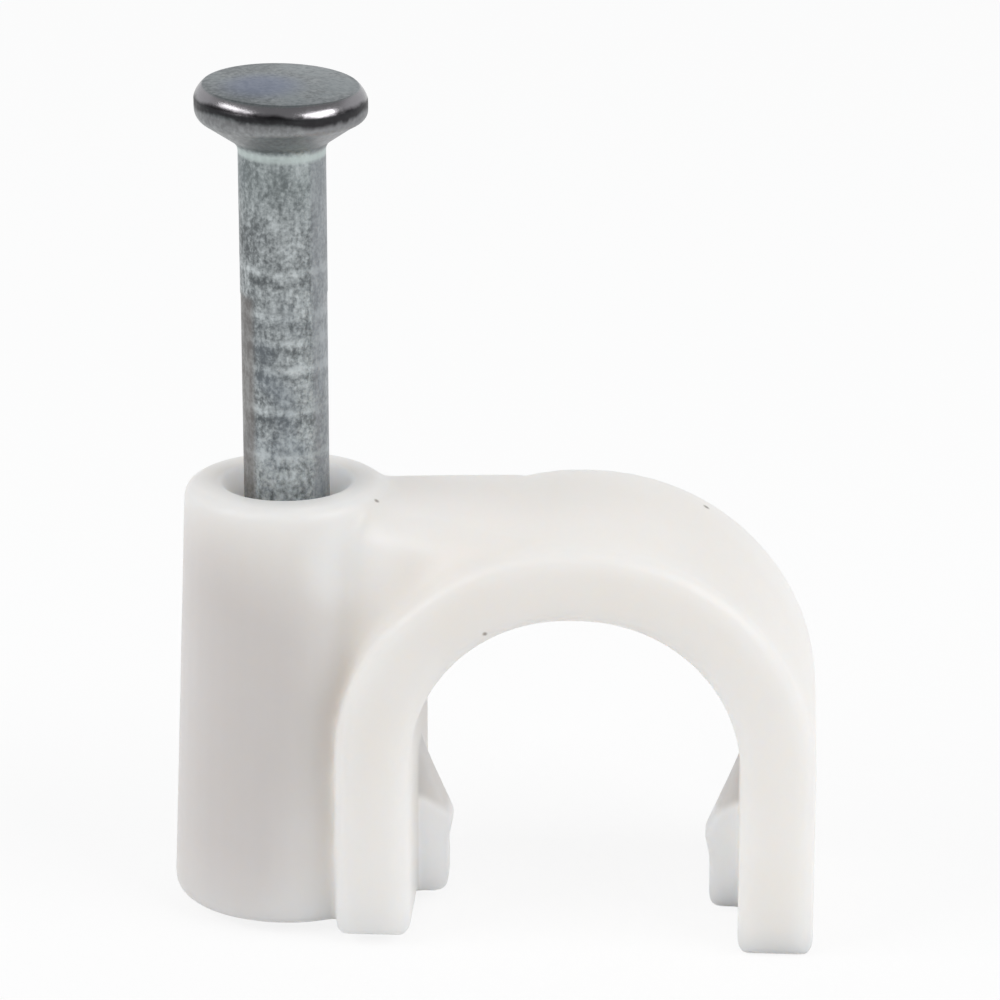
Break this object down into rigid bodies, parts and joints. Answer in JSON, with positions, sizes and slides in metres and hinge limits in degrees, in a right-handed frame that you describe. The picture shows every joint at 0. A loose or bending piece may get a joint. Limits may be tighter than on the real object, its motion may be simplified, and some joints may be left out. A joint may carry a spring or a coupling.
{
  "type": "nail-in cable clip",
  "caption": "One-piece plastic hook with retaining lugs that holds a round cable against a wall, with a boss and a headed nail beside it to fix it.",
  "frame": {"origin": "on the nail's axis, in the plane of the boss's base", "axes": "+Z along the nail towards its head, +X from the nail to the cable hook, +Y along the cable"},
  "size_m": [0.0154, 0.0066, 0.0203],
  "materials": {
    "plastic": "satin, slightly translucent white moulding",
    "zinc": "zinc-plated, mottled satin grey"
  },
  "bodies": {
    "clip": {"clip_body": "plastic"},
    "nail": {"nail": "zinc"}
  },
  "joints": [
    {"name": "nail_drive", "type": "slide", "parent": "clip", "child": "nail", "axis": [0, 0, -1], "range_m": [0, 0.0085]}
  ]
}
